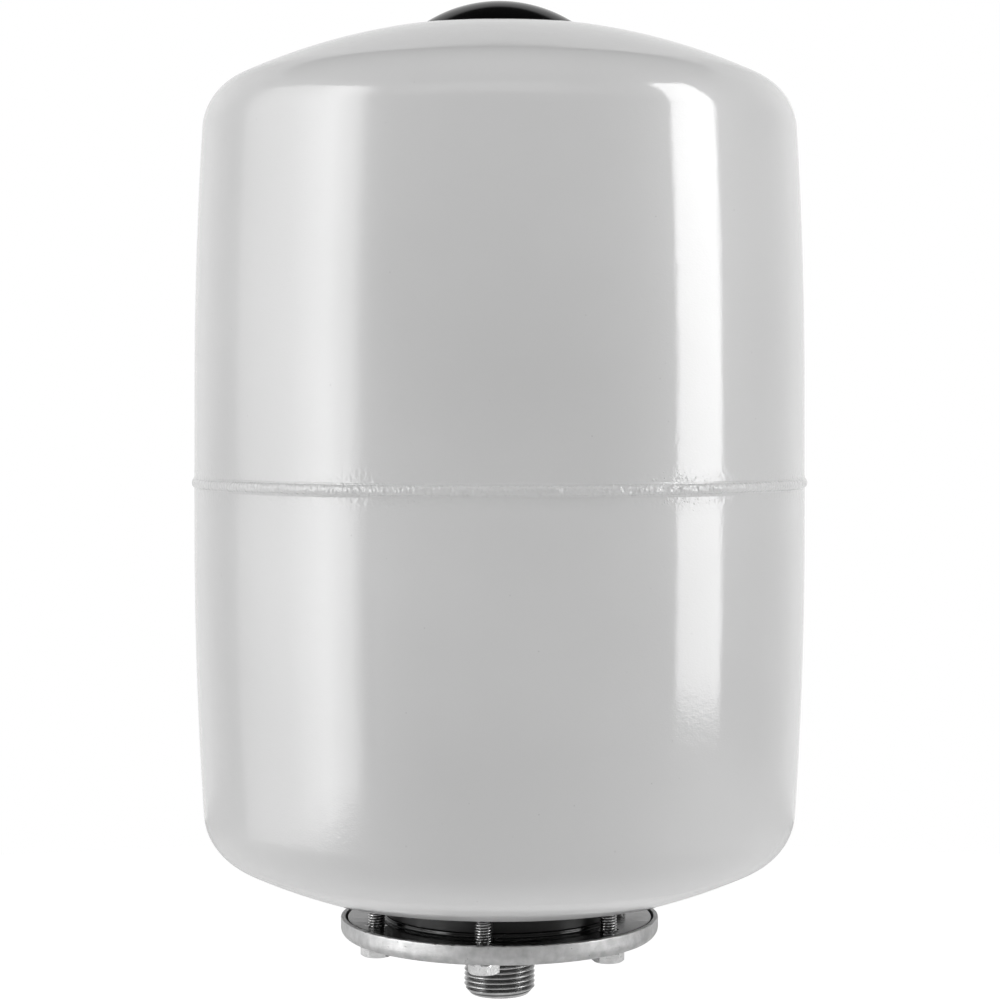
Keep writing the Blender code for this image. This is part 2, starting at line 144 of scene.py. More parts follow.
def spun(name, outline, columns=192, shape=None, sharp=32):
    """A closed outline of (radius, height) points turned about Z.

    shape(radius, height, turn, row) takes arrays and returns the moved radius and height."""
    points = np.array(outline, float)
    rows = len(points)
    turn = np.tile(np.arange(columns) * FULL_TURN / columns, (rows, 1))
    radius = np.repeat(points[:, :1], columns, axis=1)
    height = np.repeat(points[:, 1:], columns, axis=1)
    if shape:
        index = np.repeat(np.arange(rows)[:, None], columns, axis=1)
        radius, height = shape(radius, height, turn, index)
    grid = np.stack([radius * np.cos(turn), radius * np.sin(turn), height], axis=-1)
    bm = bmesh.new()
    made = [[bm.verts.new(point) for point in row] for row in grid]
    for i in range(rows):
        below, above = made[i], made[(i + 1) % rows]
        if points[i][0] == 0 and points[(i + 1) % rows][0] == 0:
            continue
        for j in range(columns):
            k = (j + 1) % columns
            bm.faces.new((below[j], below[k], above[k], above[j]))
    if (points[:, 0] == 0).any():
        bmesh.ops.remove_doubles(bm, verts=bm.verts, dist=1e-7)
    return object_from(name, bm, sharp)


def thread_wave(height, turn, pitch):
    """1 on the crests and 0 in the roots of a right-hand thread, with rounded tops and bottoms."""
    phase = (height / pitch - turn / FULL_TURN) % 1.0
    wedge = 1 - np.abs(2 * phase - 1)
    return (1 - np.cos(math.pi * np.clip(wedge * 1.25 - 0.125, 0, 1))) / 2


def hexagon(turn, across_flats):
    from_flat = (turn + math.pi / 6) % (math.pi / 3) - math.pi / 6
    return across_flats / 2 / np.cos(math.pi / 6 - np.abs(from_flat))


def wander(turn, seed, waves, low=2, high=9):
    """A smooth irregular wave round the circle, about -1 to 1, the same for the same seed."""
    random = np.random.default_rng(seed)
    total = np.zeros_like(turn)
    for _ in range(waves):
        total += np.sin(random.integers(low, high + 1) * turn + random.uniform(0, FULL_TURN))
    return total / math.sqrt(waves) / 1.4


def turn_gap(turn, centre):
    """The angle from centre, between -pi and pi."""
    return (turn - centre + math.pi) % FULL_TURN - math.pi


def bump_at(turn, centre, half_width):
    return np.exp(-((turn_gap(turn, centre) / half_width) ** 2))


def camera_side(degrees):
    """The turn about Z of a place that many degrees to the right of the side facing the camera."""
    return math.radians(degrees - 90)


# ---------------------------------------------------------------- materials

def node(tree, kind, inputs=None, **settings):
    made = tree.nodes.new(kind)
    for key, value in settings.items():
        setattr(made, key, value)
    for key, value in (inputs or {}).items():
        if isinstance(value, bpy.types.NodeSocket):
            tree.links.new(value, made.inputs[key])
        else:
            made.inputs[key].default_value = value
    return made


def level_part(tree, vector):
    """The vector without its height."""
    made = node(tree, "ShaderNodeVectorMath", {0: vector, 1: (1, 1, 0)}, operation="MULTIPLY")
    return made.outputs["Vector"]


def maths(tree, operation, *values):
    """One arithmetic step between node values."""
    return node(tree, "ShaderNodeMath", dict(enumerate(values)), operation=operation).outputs["Value"]


def noise(tree, scale, detail=2.0, stretch=None):
    place = node(tree, "ShaderNodeTexCoord").outputs["Object"]
    if stretch:
        place = node(tree, "ShaderNodeMapping", {"Vector": place, "Scale": stretch}).outputs["Vector"]
    inputs = {"Vector": place, "Scale": scale, "Detail": detail}
    return node(tree, "ShaderNodeTexNoise", inputs).outputs["Fac"]


def specks(tree, scale, size):
    """1 inside small round specks scattered over the surface, 0 elsewhere."""
    place = node(tree, "ShaderNodeTexCoord").outputs["Object"]
    spots = node(tree, "ShaderNodeTexVoronoi", {"Vector": place, "Scale": scale})
    return spread(tree, spots.outputs["Distance"], size, size * 0.5, 0.0, 1.0)


def spread(tree, value, from_low, from_high, to_low, to_high):
    inputs = {
        "Value": value, "From Min": from_low, "From Max": from_high, "To Min": to_low, "To Max": to_high,
    }
    return node(tree, "ShaderNodeMapRange", inputs).outputs["Result"]


def blend_colour(tree, factor, first, second):
    made = node(tree, "ShaderNodeMix", data_type="RGBA")
    tree.links.new(factor, made.inputs[0])
    for index, colour in ((6, first), (7, second)):
        if isinstance(colour, bpy.types.NodeSocket):
            tree.links.new(colour, made.inputs[index])
        else:
            made.inputs[index].default_value = (*colour, 1)
    return made.outputs[2]


def bumps(tree, layers):
    """Stacked bumps. Each layer is a height socket and its depth in metres."""
    normal = None
    for height, depth in layers:
        inputs = {"Height": height, "Distance": depth, "Strength": 1.0}
        if normal:
            inputs["Normal"] = normal
        normal = node(tree, "ShaderNodeBump", inputs).outputs["Normal"]
    return normal


def material(name, **constants):
    made = bpy.data.materials.new(name)
    made.use_nodes = True
    shader = made.node_tree.nodes["Principled BSDF"]
    for key, value in constants.items():
        shader.inputs[key.replace("_", " ")].default_value = value
    return made, made.node_tree, shader


def grey(value):
    return (value, value, value)


def paint_material():
    """Glossy light enamel with orange peel, faint mottling and a few dust specks under the coat."""
    made, tree, shader = material(
        "enamel", Coat_Weight=1.0, Coat_Roughness=0.02, Coat_IOR=1.5, Specular_IOR_Level=0.15
    )
    mottle = spread(tree, noise(tree, 9, 3), 0.3, 0.7, 0, 1)
    colour = blend_colour(tree, mottle, grey(0.72), grey(0.76))
    dust = specks(tree, 90, 0.035)
    tree.links.new(blend_colour(tree, dust, colour, grey(0.60)), shader.inputs["Base Color"])
    rough = spread(tree, noise(tree, 40, 3), 0.3, 0.7, 0.35, 0.45)
    tree.links.new(rough, shader.inputs["Roughness"])
    place = node(tree, "ShaderNodeTexCoord").outputs["Object"]
    height = node(tree, "ShaderNodeSeparateXYZ", {"Vector": place}).outputs["Z"]
    from_seam = maths(tree, "SUBTRACT", height, SEAM_Z)
    from_seam = maths(tree, "ABSOLUTE", from_seam)
    by_weld = spread(tree, from_seam, 0.0035, 0.0110, 1, 0)
    on_weld = spread(tree, from_seam, 0.0018, 0.0030, 1, 0)
    spatter = maths(tree, "MULTIPLY", noise(tree, 520, 1), by_weld)
    ripples = maths(tree, "MULTIPLY", noise(tree, 620, 1.5, stretch=(1, 1, 0.8)), on_weld)
    layers = [
        (noise(tree, 230, 1.5), 0.00003),
        (noise(tree, 900, 1.0, stretch=(1, 1, 1.6)), 0.00003),
        (spatter, 0.00020),
        (ripples, 0.00080),
    ]
    peel = bumps(tree, layers)
    tree.links.new(peel, shader.inputs["Normal"])
    tree.links.new(peel, shader.inputs["Coat Normal"])
    return made


def black_coat_material(name, rough_low, rough_high):
    """Thick black dip coat, with clouds, dust and a slightly uneven surface."""
    made, tree, shader = material(name, IOR=1.45)
    dust = specks(tree, 420, 0.10)
    cloud = spread(tree, noise(tree, 60, 4), 0.35, 0.7, 0, 1)
    colour = blend_colour(tree, cloud, grey(0.006), grey(0.014))
    tree.links.new(blend_colour(tree, dust, colour, grey(0.05)), shader.inputs["Base Color"])
    rough = spread(tree, noise(tree, 90, 3), 0.3, 0.7, rough_low, rough_high)
    tree.links.new(rough, shader.inputs["Roughness"])
    tree.links.new(bumps(tree, [(noise(tree, 260, 2), 0.00006)]), shader.inputs["Normal"])
    return made


def painted_root_shade(tree, pitch, inside, outside, start):
    """A mask for painted shade: 1 in the roots of a thread round the object's own axis, above start and
    between two radii, else 0.
    """
    place = node(tree, "ShaderNodeTexCoord").outputs["Object"]
    parts = node(tree, "ShaderNodeSeparateXYZ", {"Vector": place}).outputs
    turn = maths(tree, "ARCTAN2", parts["Y"], parts["X"])
    turns = maths(tree, "DIVIDE", turn, FULL_TURN)
    rises = maths(tree, "DIVIDE", parts["Z"], pitch)
    phase = maths(tree, "SUBTRACT", rises, turns)
    wedge = maths(tree, "PINGPONG", phase, 0.5)
    root = spread(tree, wedge, 0.08, 0.30, 1, 0)
    flat = level_part(tree, place)
    radius = node(tree, "ShaderNodeVectorMath", {0: flat}, operation="LENGTH").outputs["Value"]
    beyond = spread(tree, radius, inside, inside + 0.0002, 0, 1)
    within = spread(tree, radius, outside, outside + 0.0002, 1, 0)
    band = maths(tree, "MULTIPLY", beyond, within)
    above = spread(tree, parts["Z"], start, start + 0.0002, 0, 1)
    band = maths(tree, "MULTIPLY", band, above)
    return maths(tree, "MULTIPLY", root, band)


def zinc_material(name, low, high, rough_low, rough_high, pits, grain_height, thread=None):
    """Plated steel: cloudy grain, streaks round the part, fine pits, and painted shade in the roots of any
    thread.
    """
    made, tree, shader = material(name, Metallic=1.0)
    cloud = spread(tree, noise(tree, 230, 4), 0.32, 0.68, 0, 1)
    colour = blend_colour(tree, cloud, grey(low), grey(high))
    if thread:
        # Painted shade: the thread roots get a dark colour, deeper than the shadow the mesh itself casts
        # there.
        colour = blend_colour(tree, painted_root_shade(tree, *thread), colour, grey(0.09))
    pit = specks(tree, 330, 0.09)
    tree.links.new(blend_colour(tree, pit, colour, grey(low * 0.35)), shader.inputs["Base Color"])
    rough = spread(tree, noise(tree, 75, 4), 0.3, 0.7, rough_low, rough_high)
    tree.links.new(rough, shader.inputs["Roughness"])
    streaks = noise(tree, 240, 3, stretch=(1, 1, 7))
    grain = noise(tree, 1900, 2)
    layers = [(streaks, 0.00003), (grain, grain_height), (pit, -pits)]
    tree.links.new(bumps(tree, layers), shader.inputs["Normal"])
    return made


def plastic_material():
    """Satin moulded plastic with a fine grain and some dust. Its IOR is set low, to keep its edge dark."""
    made, tree, shader = material("satin_black_plastic", IOR=1.2)
    dust = specks(tree, 380, 0.045)
    cloud = spread(tree, noise(tree, 70, 3), 0.3, 0.7, 0, 1)
    colour = blend_colour(tree, cloud, grey(0.0015), grey(0.003))
    tree.links.new(blend_colour(tree, dust, colour, grey(0.10)), shader.inputs["Base Color"])
    tree.links.new(spread(tree, noise(tree, 120, 3), 0.3, 0.7, 0.08, 0.13), shader.inputs["Roughness"])
    tree.links.new(bumps(tree, [(noise(tree, 2600, 2), 0.000008)]), shader.inputs["Normal"])
    return made


def rubber_material():
    made, tree, shader = material("moulded_rubber", IOR=1.5)
    bloom = spread(tree, noise(tree, 45, 4), 0.35, 0.75, 0, 1)
    tree.links.new(blend_colour(tree, bloom, grey(0.010), grey(0.028)), shader.inputs["Base Color"])
    tree.links.new(spread(tree, noise(tree, 90, 3), 0.3, 0.7, 0.48, 0.66), shader.inputs["Roughness"])
    tree.links.new(bumps(tree, [(noise(tree, 1500, 3), 0.00003)]), shader.inputs["Normal"])
    return made


def metal_material(name, low, high, rough_low, rough_high):
    """Turned metal, with a low and a high colour and fine tool marks round the axis."""
    made, tree, shader = material(name, Metallic=1.0)
    cloud = spread(tree, noise(tree, 200, 4), 0.3, 0.7, 0, 1)
    tree.links.new(blend_colour(tree, cloud, low, high), shader.inputs["Base Color"])
    rough = spread(tree, noise(tree, 150, 3), 0.3, 0.7, rough_low, rough_high)
    tree.links.new(rough, shader.inputs["Roughness"])
    marks = noise(tree, 600, 2, stretch=(1, 1, 9))
    tree.links.new(bumps(tree, [(marks, 0.000012)]), shader.inputs["Normal"])
    return made


# ---------------------------------------------------------------- pieces

def dress(obj, look, body, slot_name, *replaced):
    """Gives a piece its material and its body, and hides the CAD nodes that it stands for. The slot name is
    not used.
    """
    obj.data.materials.clear()
    obj.data.materials.append(look)
    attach(obj, body)
    if replaced:
        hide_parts(*replaced)
    return obj


def shell_face(straight, tangent, land, hole, inset, steps):
    """(radius, height from the seam) points along one face of a half shell, from the seam to its hole."""
    lean = (tangent - straight) / BARREL_RADIUS
    barrel_r = BODY_RADIUS - BARREL_RADIUS
    knuckle_r = barrel_r + (BARREL_RADIUS - KNUCKLE_RADIUS) * math.cos(lean)
    knuckle_h = straight + (BARREL_RADIUS - KNUCKLE_RADIUS) * math.sin(lean)
    crown_h = knuckle_h - math.sqrt((CROWN_RADIUS - KNUCKLE_RADIUS) ** 2 - knuckle_r**2)
    meet = math.atan2(knuckle_h - crown_h, knuckle_r)
    land_angle = math.asin((land - inset - crown_h) / (CROWN_RADIUS - inset))
    land_radius = (CROWN_RADIUS - inset) * math.cos(land_angle)
    points = between((BODY_RADIUS - inset, 0.0), (BODY_RADIUS - inset, straight), steps)
    points += arc(barrel_r, straight, BARREL_RADIUS - inset, 0, lean, steps * 2)[1:]
    points += arc(knuckle_r, knuckle_h, KNUCKLE_RADIUS - inset, lean, meet, steps * 3)[1:]
    points += arc(0, crown_h, CROWN_RADIUS - inset, meet, land_angle, steps * 2)[1:]
    points += between((land_radius, land - inset), (hole, land - inset), steps)[1:]
    return points


def drawn_metal(seed):
    """The slight unevenness of a deep-drawn wall, a few hundredths of a millimetre."""
    def shape(radius, height, turn, row):
        from_seam = np.abs(height - SEAM_Z)
        sides = np.clip((radius - 0.10) / 0.03, 0, 1)
        pulled = np.exp(-from_seam / 0.006)
        waves = wander(turn + height * 3, seed, 5, 3, 11) * 0.00003
        puckers = wander(turn, seed + 1, 6, 30, 90) * 0.000025 * pulled
        return radius - 0.00005 * sides + (waves + puckers) * sides, height
    return shape


def half_shell(name, node_name, side, straight, tangent, land, hole, seed, look):
    outer = shell_face(straight, tangent, land, hole, 0, 10)
    inner = shell_face(straight, tangent, land, hole, SHELL_WALL, 4)
    start = 0.0004
    outer[0] = (outer[0][0], start)
    inner[0] = (inner[0][0], start)
    outline = [(r, SEAM_Z + side * h) for r, h in outer + inner[::-1]]
    shell = spun(name, outline, columns=288, shape=drawn_metal(seed))
    return dress(shell, look, "vessel", "white_paint", node_name)


def bead_height(turn, across):
    """How far the bead stands over the shell, with its ripples and lumps and the weld's start and stop."""
    overlap = bump_at(turn, camera_side(36), math.radians(9))
    level = 0.00112 + 0.00006 * wander(turn, 5, 6, 3, 17) + 0.00003 * wander(turn, 6, 8, 60, 200)
    ripple = np.sin(400 * turn + 4.0 * (across / BEAD_HALF_WIDTH) ** 2)
    level = level + ripple * (0.00002 + 0.00011 * overlap)
    lumps = [
        (-7, 0.45, 0.00022, -0.0004), (7, 2.2, -0.00030, -0.0002), (9.5, 0.5, 0.00020, 0.0006),
        (11, 0.9, -0.00026, 0.0008), (12.2, 0.4, 0.00022, -0.0006), (17, 2.3, 0.00026, 0.0006),
        (20.4, 0.35, 0.00030, 0.0001), (23, 1.6, -0.00030, -0.0004), (27.5, 0.5, 0.00030, -0.0003),
        (29, 0.7, -0.00035, 0.0004), (30.5, 0.5, 0.00030, -0.0006), (32, 0.35, -0.00030, 0.0002),
        (33.4, 0.6, 0.00025, 0.0008), (35.5, 0.6, -0.00026, 0.0004), (97, 0.8, 0.00020, 0.0),
        (163, 1.2, -0.00016, 0.0004), (171, 1.4, 0.00022, 0.0), (214, 0.6, 0.00018, -0.0005),
        (262, 1.1, 0.00016, 0.0003), (311, 1.5, -0.00015, 0.0), (340, 0.5, 0.00018, 0.0004),
    ]
    for degrees, half_width, height, offset in lumps:
        spot = bump_at(turn, camera_side(degrees), math.radians(half_width))
        level = level + 2.0 * height * spot * np.exp(-(((across - offset) / 0.0009) ** 2))
    return level


def seam_bead(look):
    """The painted weld bead: a rounded rib between two toes, with a pressed lip over the upper toe."""
    steps = 40
    across = np.linspace(-BEAD_HALF_WIDTH, BEAD_HALF_WIDTH, steps + 1)
    root = BODY_RADIUS - SHELL_WALL * 0.7
    outline = [(BODY_RADIUS, SEAM_Z + a) for a in across]
    outline += [(root, SEAM_Z + across[-1]), (root, SEAM_Z + across[0])]

    def shape(radius, height, turn, row):
        offset = height - SEAM_Z
        drift = 0.00025 * wander(turn, 3, 5, 2, 12) + 0.00006 * wander(turn, 9, 6, 20, 70)
        half = 0.00215 + 0.00012 * wander(turn, 4, 5, 3, 19)
        across_rib = (offset - drift) / half
        rib = bead_height(turn, offset) * np.clip(1 - np.abs(across_rib) ** 2.2, 0, 1) ** 0.85
        lip = 0.00010 * np.exp(-(((across_rib - 1.28) / 0.13) ** 2))
        run_out = 0.00012 * np.clip((BEAD_HALF_WIDTH - np.abs(offset)) / 0.0006, 0, 1)
        moved = np.where(row <= steps, BODY_RADIUS - 0.00009 + rib + lip + run_out, radius)
        return np.minimum(moved, BEAD_LIMIT - 0.00002), height

    bead = spun("seam_bead", outline, columns=2880, shape=shape, sharp=80)
    return dress(bead, look, "vessel", "white_paint", "seam_weld")


def weld_spatter(look):
    """Small painted-over droplets beside the bead, most of them where the weld starts and stops."""
    random = np.random.default_rng(21)
    bm = bmesh.new()
    for number in range(130):
        near = number < 90
        degrees = random.normal(33, 3.5) if near else random.uniform(0, 360)
        side = random.choice([-1, 1])
        height = SEAM_Z + side * (0.0032 + abs(random.normal(0, 0.0028 if near else 0.0018)))
        size = random.uniform(0.00025, 0.0006)
        turn = camera_side(degrees)
        reach = BODY_RADIUS - 0.00012
        place = Matrix.Translation((reach * math.cos(turn), reach * math.sin(turn), height))
        flat = Matrix.Diagonal((0.30, 1.0, random.uniform(0.8, 1.2), 1.0))
        lie = place @ Matrix.Rotation(turn, 4, "Z") @ flat
        bmesh.ops.create_icosphere(bm, subdivisions=2, radius=size, matrix=lie)
    return dress(object_from("weld_spatter", bm, 80), look, "vessel", "white_paint")


def neck_sleeve(look):
    """The sleeve between the ring and the shell, with two burrs on the edge that meets the ring's hub."""
    collar_z = RING_HIGH.z + CLEARANCE
    lip_z = NECK_HIGH.z - FOOT_HEIGHT
    foot_z = NECK_LOW.z
    edge = 0.0003
    outline = [(NECK_BORE, foot_z), (FOOT_RADIUS, foot_z), (FOOT_RADIUS, foot_z + FOOT_HEIGHT)]
    outline += [(SPIGOT_RADIUS, foot_z + FOOT_HEIGHT), (SPIGOT_RADIUS, collar_z)]
    outline += arc(NECK_RADIUS - edge, collar_z + edge, edge, -math.pi / 2, 0, 5)
    outline += between((NECK_RADIUS, collar_z + 2 * edge), (NECK_RADIUS, lip_z - edge), 10)
    outline += [(NECK_RADIUS, lip_z), (NECK_HIGH.x, lip_z)]
    outline += [(NECK_HIGH.x, NECK_HIGH.z), (NECK_BORE, NECK_HIGH.z)]

    def shape(radius, height, turn, row):
        burrs = bump_at(turn, camera_side(4.3), 0.012) + 1.3 * bump_at(turn, camera_side(-43), 0.016)
        burrs = burrs + 0.7 * bump_at(turn, camera_side(128), 0.014)
        at_edge = np.exp(-(((height - collar_z) / 0.0006) ** 2)) * (radius > SPIGOT_RADIUS + 0.001)
        wall = (height > collar_z) & (height < lip_z)
        return radius + burrs * at_edge * 0.00025 + wall * 0.00006 * wander(turn, 31, 5), height

    return dress(spun("neck_sleeve", outline, 288, shape), look, "vessel", "black_coat", "neck")


def bolt_places():
    """(number, x, y, turn) of each bolt, from the frame."""
    places = []
    for number in range(1, BOLT_COUNT + 1):
        low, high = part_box(f"flange_bolt_{number}")
        x, y = (low.x + high.x) / 2, (low.y + high.y) / 2
        turn = math.atan2(y, x)
        places.append((number, x, y, turn))
    return places


def cut_bolt_holes(obj, radius):
    """Cuts round holes for the bolts and keeps the result as the piece's mesh."""
    bm = bmesh.new()
    for _, x, y, _ in bolt_places():
        made = bmesh.ops.create_cone(
            bm, cap_ends=True, segments=40, radius1=radius, radius2=radius, depth=0.04
        )
        bmesh.ops.translate(bm, verts=made["verts"], vec=(x, y, RING_LOW.z))
    cutter = object_from("hole_cutter", bm)
    modifier = obj.modifiers.new("holes", "BOOLEAN")
    modifier.object = cutter
    bpy.context.view_layer.update()
    holed = bpy.data.meshes.new_from_object(obj.evaluated_get(bpy.context.evaluated_depsgraph_get()))
    obj.modifiers.clear()
    obj.data = holed
    bpy.data.objects.remove(cutter)
    return obj


def ring_plate(look):
    """The glossy threaded ring, with rounded edges and a short hub against the neck."""
    bottom, hub_top = RING_LOW.z, RING_HIGH.z
    top = hub_top - HUB_HEIGHT
    outer = RING_HIGH.x
    edge = 0.0005
    bore = SPIGOT_RADIUS + CLEARANCE
    recess_r = FOOT_RADIUS + CLEARANCE
    recess_z = bottom + FOOT_HEIGHT + CLEARANCE
    outline = [(recess_r, bottom)]
    outline += arc(outer - edge, bottom + edge, edge, -math.pi / 2, 0, 4)
    outline += arc(outer - edge, top - edge, edge, 0, math.pi / 2, 5)
    outline += between((outer - 2 * edge, top), (NECK_RADIUS + 0.0008, top), 6)
    outline += arc(NECK_RADIUS + 0.0006, top + 0.0006, 0.0006, -math.pi / 2, -math.pi, 4)
    outline += arc(NECK_RADIUS - 0.0003, hub_top - 0.0003, 0.0003, 0, math.pi / 2, 4)
    outline += [(bore, hub_top), (bore, recess_z), (recess_r, recess_z)]
    ring = cut_bolt_holes(spun("ring_plate", outline, 240), BOLT_RADIUS + 0.00012)
    return dress(ring, look, "vessel", "black_coat", "threaded_ring")


def dish(look):
    """The pressed counterflange. Its rim was sheared, so the edge is uneven, with nicks and small burrs."""
    bottom, top, rim = DISH_LOW.z, DISH_HIGH.z, DISH_HIGH.x
    hole, lead_in = 0.0158, 0.0012
    inner = rim - DISH_SHEET
    corner_r, corner_z = rim - DISH_CORNER, bottom + DISH_CORNER
    lip = 0.0004
    outline = [(hole, bottom + lead_in)] + between((hole + lead_in, bottom), (corner_r, bottom), 8)
    outline += arc(corner_r, corner_z, DISH_CORNER, -math.pi / 2, 0, 10)[1:]
    outline += between((rim, corner_z), (rim, top - lip), 5)[1:]
    outline += arc(rim - lip, top - lip, lip, 0, math.pi / 2, 4)[1:]
    outline += [(rim - DISH_SHEET / 2, top), (inner, top - 0.00005)]
    outline += between((inner, top - lip), (inner, corner_z), 4)
    outline += arc(corner_r, corner_z, DISH_CORNER - DISH_SHEET, 0, -math.pi / 2, 5)[1:]
    outline += [(hole, bottom + DISH_SHEET)]
    random = np.random.default_rng(12)
    nicks = []
    for degrees in random.uniform(-70, 10, 9):
        nicks.append((camera_side(degrees), random.uniform(0.003, 0.010), random.uniform(0.4, 1.0)))
    for _ in range(24):
        nicks.append((random.uniform(0, FULL_TURN), random.uniform(0.003, 0.012), random.uniform(0.2, 0.9)))

    def shape(radius, height, turn, row):
        near_top = np.clip((height - (top - 0.0012)) / 0.0012, 0, 1)
        sheared = 0.00008 * wander(turn, 41, 7, 5, 60) - 0.0001
        for centre, half_width, depth in nicks:
            sheared = sheared - 0.00035 * depth * bump_at(turn, centre, half_width)
        wall = np.clip((radius - 0.06) / 0.01, 0, 1)
        dents = 0.00009 * wander(turn, 43, 6, 2, 14) * wall
        return np.minimum(radius - 0.0001 * wall + dents, rim), height + near_top * sheared

    made = cut_bolt_holes(spun("counterflange_dish", outline, 720, shape), BOLT_RADIUS + 0.0004)
    return dress(made, look, "vessel", "zinc", "counterflange")


def pipe_nipple(look):
    """The nipple with its G1 thread, the chamfer at the free end and the smooth bore."""
    major, bottom, top = NIPPLE_HIGH.x, NIPPLE_LOW.z, NIPPLE_HIGH.z
    shoulder = DISH_LOW.z - CLEARANCE
    bore, end_radius, spigot, chamfer = 0.0105, 0.0133, 0.0155, 0.0036
    rows = 200
    threaded = between((major, bottom + 0.0002), (major, shoulder - 0.0004), rows)
    outline = [(bore + 0.0006, bottom), (end_radius - 0.0003, bottom), (end_radius, bottom + 0.0001)]
    first = len(outline)
    outline += threaded
    last = len(outline)
    outline += [(spigot, shoulder), (spigot, top), (bore, top), (bore, bottom + 0.0006)]

    def shape(radius, height, turn, row):
        worn = 1 - 0.05 * (1 + wander(turn + height * 40, 51, 4))
        cut = major - PIPE_DEPTH * (1 - thread_wave(height, turn, PIPE_PITCH) * worn)
        cone = end_radius + (major - end_radius) * (height - bottom) / chamfer
        inside = (row >= first) & (row < last)
        return np.where(inside, np.minimum(cut, np.maximum(cone, end_radius)), radius), height

    made = spun("pipe_nipple", outline, 192, shape, sharp=60)
    return dress(made, look, "vessel", "zinc", "nipple")


def bolt(number, x, y, turn, look):
    """One M8 bolt: a chamfered hexagon head below, and a real thread that ends in a chamfer."""
    low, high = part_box(f"flange_bolt_{number}")
    head, seat, tip = low.z, low.z + BOLT_HEAD_HEIGHT, high.z
    depth = 0.00077
    outline = [(0, head + 0.0002), (0.0030, head + 0.0002), (0.0036, head)]
    first_head = len(outline)
    outline += between((BOLT_FLATS / 2, head), (BOLT_FLATS / 2, head + 0.0012), 10)
    outline += between((BOLT_FLATS / 2, head + 0.0014), (BOLT_FLATS / 2, seat), 6)
    last_head = len(outline)
    outline += [(BOLT_RADIUS + 0.0004, seat), (BOLT_RADIUS, seat + 0.0002)]
    first_thread = len(outline)
    outline += between((BOLT_RADIUS, seat + 0.0006), (BOLT_RADIUS, tip - 0.00002), 150)
    last_thread = len(outline)
    outline += [(0.0024, tip), (0, tip)]

    def shape(radius, height, around, row):
        flats = hexagon(around, BOLT_FLATS)
        cone = BOLT_FLATS * 0.475 + (height - head) * 1.75
        top_cone = BOLT_FLATS * 0.50 + (seat - height) * 3.0
        in_head = (row >= first_head) & (row < last_head)
        radius = np.where(in_head, np.minimum(flats, np.minimum(cone, top_cone)), radius)
        cut = BOLT_RADIUS - depth * (1 - thread_wave(height, around, BOLT_PITCH))
        end = BOLT_RADIUS - 0.0010 + (tip - height)
        in_thread = (row >= first_thread) & (row < last_thread)
        return np.where(in_thread, np.minimum(cut, end), radius), height

    name = f"hex_bolt_{number}"
    made = spun(name, outline, 72, shape, sharp=28)
    made.location = (x, y, 0)
    made.rotation_euler.z = turn + math.radians(17 * number)
    return dress(made, look, "vessel", "bright_zinc", f"flange_bolt_{number}")


def bladder_bag(look):
    """The moulded bladder: open neck with a beaded lip, and a full bag with shallow moulding ribs."""
    wall, neck, fullness = 0.0020, 0.0488, 2.4
    bag_radius, crown = BLADDER_HIGH.x, BLADDER_HIGH.z
    centre, half_height = 0.2350, BLADDER_HIGH.z - 0.2350
    lip_bottom = BLADDER_LOW.z
    lip_top = NECK_LOW.z - CLEARANCE

    def face(inset, steps):
        radius, half = bag_radius - inset, half_height - inset
        start = -((1 - ((neck - inset) / radius) ** fullness) ** (1 / fullness))
        points = []
        for i in range(steps):
            rise = start + (1 - start) * (1 - math.cos(math.pi * i / steps)) / 2
            points.append((radius * (1 - abs(rise) ** fullness) ** (1 / fullness), centre + half * rise))
        return points + [(0, centre + half)]

    outline = [(neck - wall, lip_bottom), (FOOT_RADIUS - CLEARANCE, lip_bottom)]
    outline += [(FOOT_RADIUS - CLEARANCE, lip_top), (neck + 0.0004, lip_top), (neck, lip_top + 0.0004)]
    outline += face(0, 60) + face(wall, 40)[::-1]

    def shape(radius, height, turn, row):
        on_bag = np.clip((height - centre + half_height * 0.7) / 0.04, 0, 1)
        on_bag = on_bag * np.clip((crown - 0.03 - height) / 0.04, 0, 1)
        ribs = 0.00025 * np.clip(np.cos(8 * turn), 0.94, 1) * 16 - 0.00376
        return radius + ribs * on_bag * (radius < bag_radius) * (radius > 0.06), height

    return dress(spun("bladder_bag", outline, 128, shape), look, "vessel", "rubber", "bladder")


def valve_boss(look):
    """The steel socket in the shell's top, its edges broken."""
    low, high, radius, bore, recess = SOCKET_LOW, SOCKET_HIGH, 0.0090, 0.0062, 0.0084
    lip_top = UPPER_LAND_Z - SHELL_WALL - CLEARANCE
    recess_z = UPPER_LAND_Z - 0.0002
    edge = 0.0002
    outline = [(bore, low.z), (high.x - edge, low.z), (high.x, low.z + edge)]
    outline += [(high.x, lip_top), (radius, lip_top)]
    outline += between((radius, lip_top + edge), (radius, high.z - edge), 4)
    outline += arc(radius - edge, high.z - edge, edge, 0, math.pi / 2, 4)[1:]
    outline += [(recess, high.z), (recess, recess_z), (bore, recess_z)]
    return dress(spun("valve_boss", outline, 96), look, "vessel", "bright_zinc", "valve_socket")


